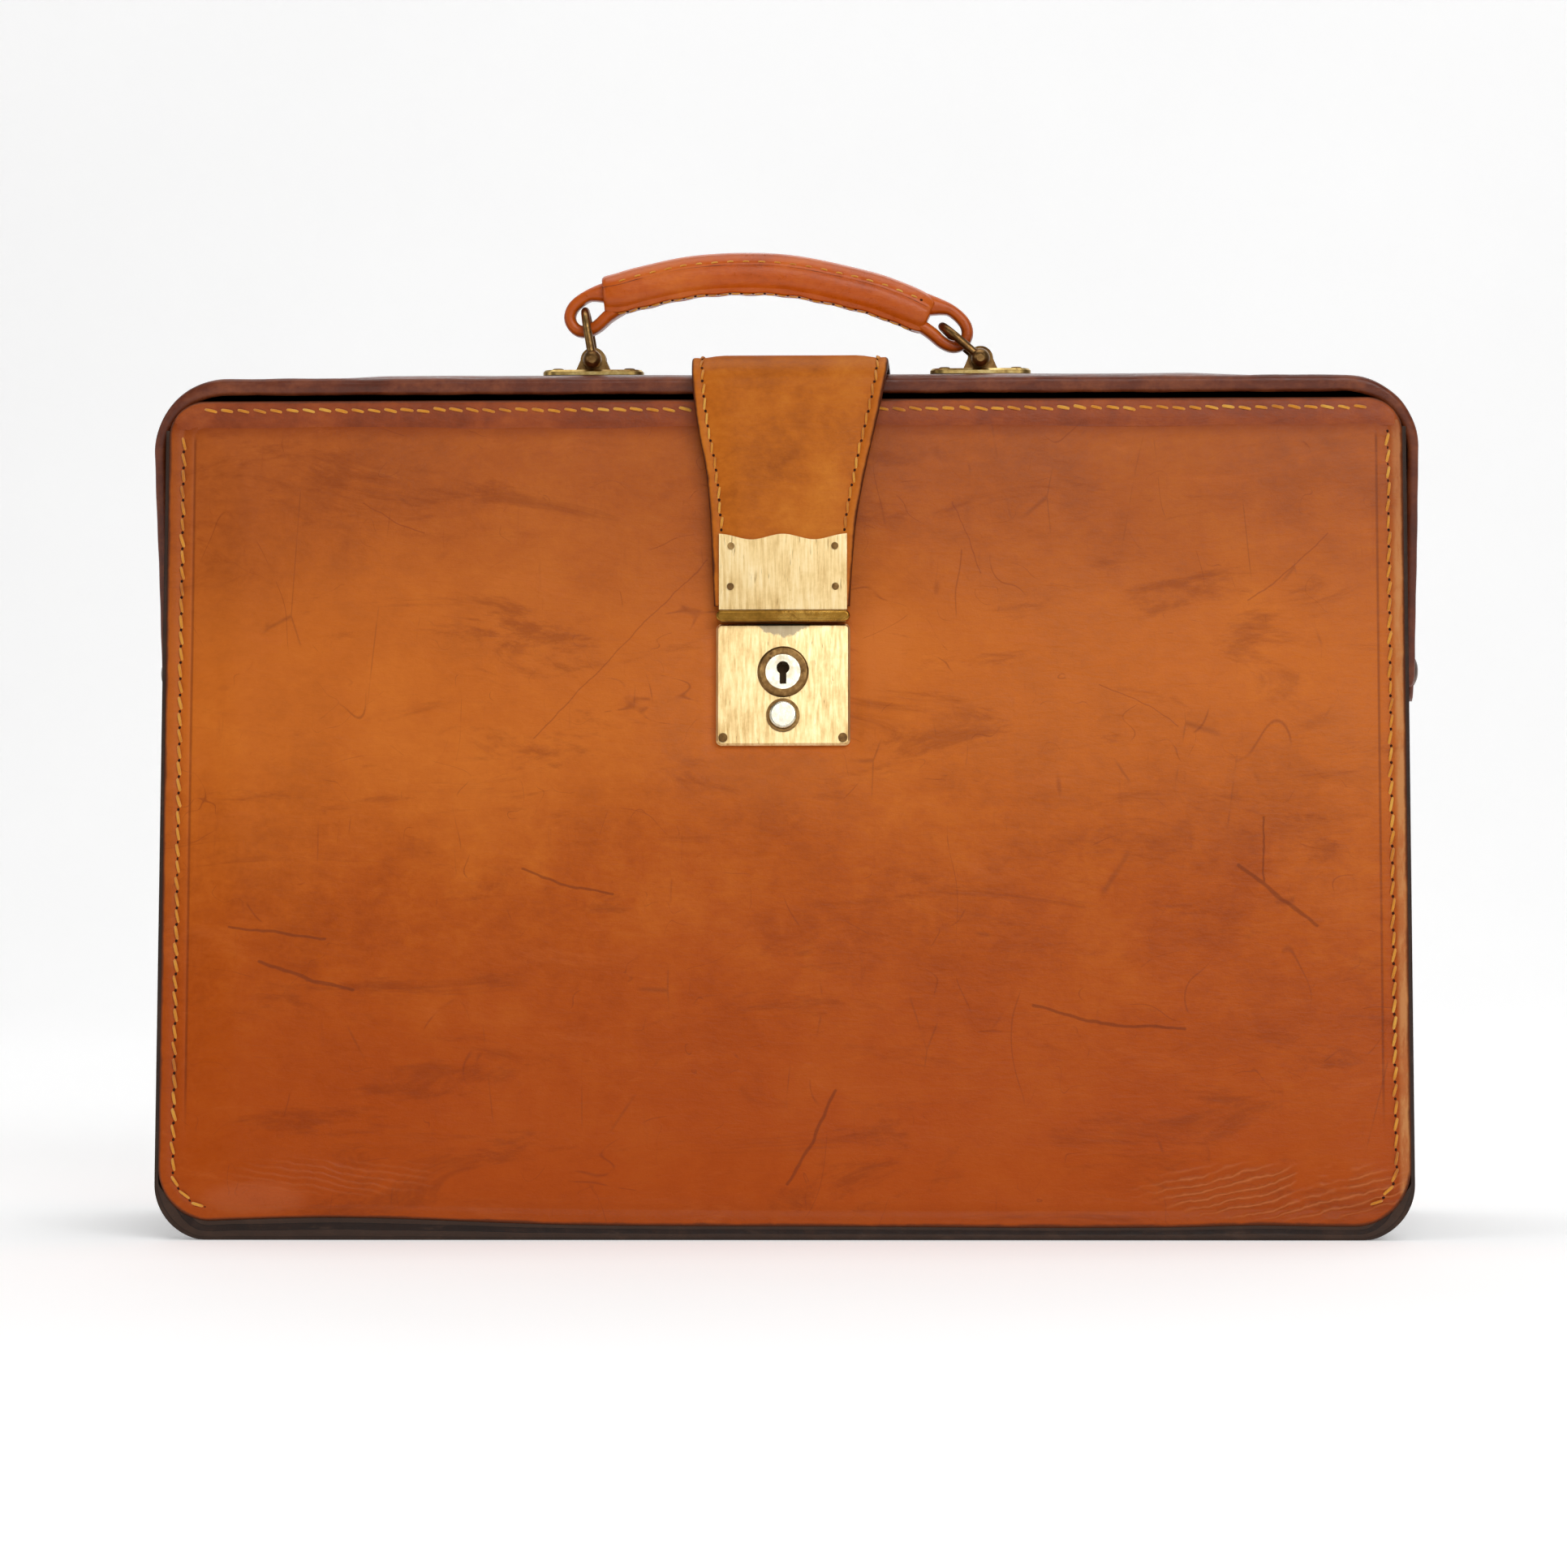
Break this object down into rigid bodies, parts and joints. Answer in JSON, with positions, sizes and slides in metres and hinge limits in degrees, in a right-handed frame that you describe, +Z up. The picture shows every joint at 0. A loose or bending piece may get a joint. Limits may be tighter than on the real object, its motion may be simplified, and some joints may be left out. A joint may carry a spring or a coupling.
{
  "type": "framed leather flight bag",
  "caption": "Top-opening framed leather case with swinging front frame, hasp strap with push-button key lock, and folding drop handle.",
  "frame": {"origin": "on the ground, under the middle of the base", "axes": "+Z up, -Y towards the front with the lock, +X to the right seen from the front"},
  "size_m": [0.457, 0.1486, 0.3517],
  "materials": {
    "tan_hide": "tan vegetable-tanned hide, waxed, worn",
    "strap_hide": "yellower tan strap leather",
    "dark_hide": "dark brown gusset leather",
    "frame_hide": "reddish brown leather over the frames",
    "handle_hide": "glossy orange tan handle leather",
    "lining_cloth": "brown cotton lining",
    "board": "fibre board stiffener",
    "frame_steel": "black japanned steel strip",
    "brass": "satin brass",
    "aged_brass": "aged dark brass",
    "steel": "plain steel",
    "button_nickel": "worn nickel plate"
  },
  "bodies": {
    "case": {"front_panel_lower": "tan_hide", "back_panel": "tan_hide", "front_welt": "dark_hide", "rear_welt": "dark_hide", "left_gusset": "dark_hide", "right_gusset": "dark_hide", "bottom_panel": "dark_hide", "base_board": "board", "front_lining": "lining_cloth", "back_lining": "lining_cloth", "rear_frame": "frame_steel", "rear_frame_cover": "frame_hide", "rear_frame_bead": "frame_hide", "left_stud": "aged_brass", "right_stud": "aged_brass", "stud_washers": "steel", "pivot_spacers": "steel", "left_handle_plate": "aged_brass", "right_handle_plate": "aged_brass", "handle_plate_rivets": "aged_brass", "left_knuckle": "aged_brass", "right_knuckle": "aged_brass", "strap_anchor": "strap_hide", "lock_plate": "brass", "lock_case": "steel", "lock_backplate": "steel", "lock_pins": "steel", "cylinder_collar": "aged_brass", "button_rim": "aged_brass", "button_spring": "steel", "latch_spring": "steel"},
    "front_hoop": {"front_panel_upper": "tan_hide", "top_band": "tan_hide", "front_frame": "frame_steel", "front_frame_cover": "frame_hide"},
    "strap_flap": {"strap": "strap_hide", "hasp_plate": "brass", "hasp_lip": "aged_brass", "hasp_rivets": "steel", "hasp_staple": "steel"},
    "left_stirrup": {"left_shackle": "aged_brass", "left_shackle_pin": "steel"},
    "right_stirrup": {"right_shackle": "aged_brass", "right_shackle_pin": "steel"},
    "handle": {"handle_grip": "handle_hide", "handle_core": "dark_hide", "left_handle_loop": "handle_hide", "right_handle_loop": "handle_hide"},
    "button": {"push_button": "button_nickel"},
    "latch": {"latch_bolt": "steel"},
    "plug": {"key_plug": "button_nickel"}
  },
  "joints": [
    {"name": "front_hoop_hinge", "type": "hinge", "parent": "case", "child": "front_hoop", "pos_m": [0, 0, 0.2003], "axis": [1, 0, 0], "range_deg": [0, 40]},
    {"name": "strap_hinge", "type": "hinge", "parent": "case", "child": "strap_flap", "pos_m": [0, -0.03, 0.312], "axis": [-1, 0, 0], "range_deg": [0, 130.5]},
    {"name": "left_stirrup_swing", "type": "hinge", "parent": "case", "child": "left_stirrup", "pos_m": [-0.0703, 0, 0.3139], "axis": [0, 1, 0], "range_deg": [0, 50]},
    {"name": "right_stirrup_swing", "type": "hinge", "parent": "case", "child": "right_stirrup", "pos_m": [0.0703, 0, 0.3139], "axis": [0, 1, 0], "range_deg": [0, 55.6]},
    {"name": "handle_swing", "type": "hinge", "parent": "left_stirrup", "child": "handle", "pos_m": [-0.07332, 0, 0.33195], "axis": [0, 1, 0], "range_deg": [-54.6, 0]},
    {"name": "button_press", "type": "slide", "parent": "case", "child": "button", "axis": [0, 0.9924, -0.1232], "range_m": [0, 0.002], "stiffness_N_per_m": 600, "springref_m": -0.001, "deforming": ["button_spring"]},
    {"name": "latch_slide", "type": "slide", "parent": "case", "child": "latch", "axis": [1, 0, 0], "range_m": [0, 0.002]},
    {"name": "key_turn", "type": "hinge", "parent": "case", "child": "plug", "pos_m": [0, -0.05027, 0.19917], "axis": [0, -0.9924, 0.1232], "range_deg": [0, 90]}
  ],
  "couplings": [
    {"joint": "strap_hinge", "follows": "front_hoop_hinge", "ratio": 3.25},
    {"joint": "right_stirrup_swing", "follows": "left_stirrup_swing", "ratio": 1.11},
    {"joint": "handle_swing", "follows": "left_stirrup_swing", "ratio": -1.09},
    {"joint": "latch_slide", "follows": "button_press", "ratio": 1}
  ]
}
